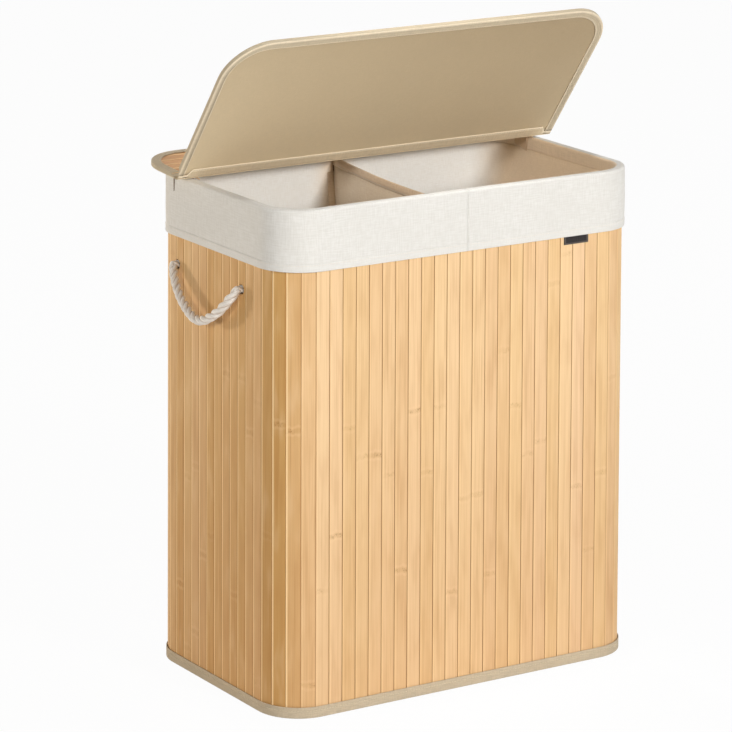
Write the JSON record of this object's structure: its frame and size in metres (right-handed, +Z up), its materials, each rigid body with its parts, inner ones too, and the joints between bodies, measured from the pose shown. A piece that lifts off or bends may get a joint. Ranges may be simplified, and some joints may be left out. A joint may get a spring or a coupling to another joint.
{
  "type": "divided laundry hamper",
  "caption": "Upright bamboo-slat laundry hamper with rounded corners, a divided cloth liner turned down over the rim, a folding slatted lid and rope side handles.",
  "frame": {"origin": "middle of the underside, on the floor", "axes": "+Z up, +Y towards the back where the lid's narrow flap is, -Y towards the front that carries the side tag, +X to the right seen from the front"},
  "size_m": [0.5604, 0.3334, 0.8197],
  "materials": {
    "bamboo": "natural bamboo slats, lightly sanded",
    "linen": "off-white slubbed linen weave",
    "cotton": "cream cotton",
    "khaki_cloth": "khaki backing cloth",
    "taupe_tape": "taupe woven edging tape",
    "rope": "off-white twisted cotton rope",
    "board": "raw fibreboard",
    "wire": "plain drawn wire",
    "tag": "black woven tag, bare"
  },
  "bodies": {
    "body": {"base_board": "board", "base_cloth": "khaki_cloth", "base_tape": "taupe_tape", "cuff_hem_left": "linen", "cuff_hem_right": "linen", "cuff_left": "linen", "cuff_right": "linen", "divider": "cotton", "divider_hem": "cotton", "handle_knot_left_back": "rope", "handle_knot_left_front": "rope", "handle_knot_right_back": "rope", "handle_knot_right_front": "rope", "lid_strap_left": "khaki_cloth", "lid_strap_right": "khaki_cloth", "liner_floor_left": "cotton", "liner_floor_right": "cotton", "liner_wall_left": "cotton", "liner_wall_right": "cotton", "rim_tape": "khaki_cloth", "rim_wire": "wire", "side_tag": "tag", "slat_mat_front": "bamboo", "slat_mat_left": "bamboo", "slat_mat_left_back": "bamboo", "slat_mat_left_back_corner": "bamboo", "slat_mat_left_front_corner": "bamboo", "slat_mat_right": "bamboo", "slat_mat_right_back": "bamboo", "slat_mat_right_back_corner": "bamboo", "slat_mat_right_front_corner": "bamboo"},
    "lid_front": {"lid_cloth_front": "khaki_cloth", "lid_edge_tape_front": "taupe_tape", "lid_fold_tape_front": "taupe_tape", "lid_slat_front_01": "bamboo", "lid_slat_front_02": "bamboo", "lid_slat_front_03": "bamboo", "lid_slat_front_04": "bamboo", "lid_slat_front_05": "bamboo", "lid_slat_front_06": "bamboo", "lid_slat_front_07": "bamboo", "lid_slat_front_08": "bamboo", "lid_slat_front_09": "bamboo", "lid_slat_front_10": "bamboo", "lid_slat_front_11": "bamboo", "lid_slat_front_12": "bamboo"},
    "lid_rear": {"lid_cloth_rear": "khaki_cloth", "lid_edge_tape_rear": "taupe_tape", "lid_fold_tape_rear": "taupe_tape", "lid_slat_rear_01": "bamboo", "lid_slat_rear_02": "bamboo", "lid_slat_rear_03": "bamboo", "lid_slat_rear_04": "bamboo", "lid_slat_rear_05": "bamboo"},
    "handle_left": {"handle_loop_left": "rope"},
    "handle_right": {"handle_loop_right": "rope"}
  },
  "joints": [
    {"name": "lid_front_fold", "type": "hinge", "parent": "body", "child": "lid_front", "pos_m": [0, 0.0635, 0.6332], "axis": [-1, 0, 0], "range_deg": [-52.8, 67.2]},
    {"name": "lid_rear_fold", "type": "hinge", "parent": "body", "child": "lid_rear", "pos_m": [0, 0.0635, 0.6332], "axis": [1, 0, 0], "range_deg": [-3.5, 11.5]},
    {"name": "handle_left_swing", "type": "hinge", "parent": "body", "child": "handle_left", "pos_m": [-0.2642, 0.017, 0.519], "axis": [0, 1, 0], "range_deg": [-11, 150]},
    {"name": "handle_right_swing", "type": "hinge", "parent": "body", "child": "handle_right", "pos_m": [0.2642, 0.017, 0.519], "axis": [0, -1, 0], "range_deg": [-11, 150]}
  ]
}
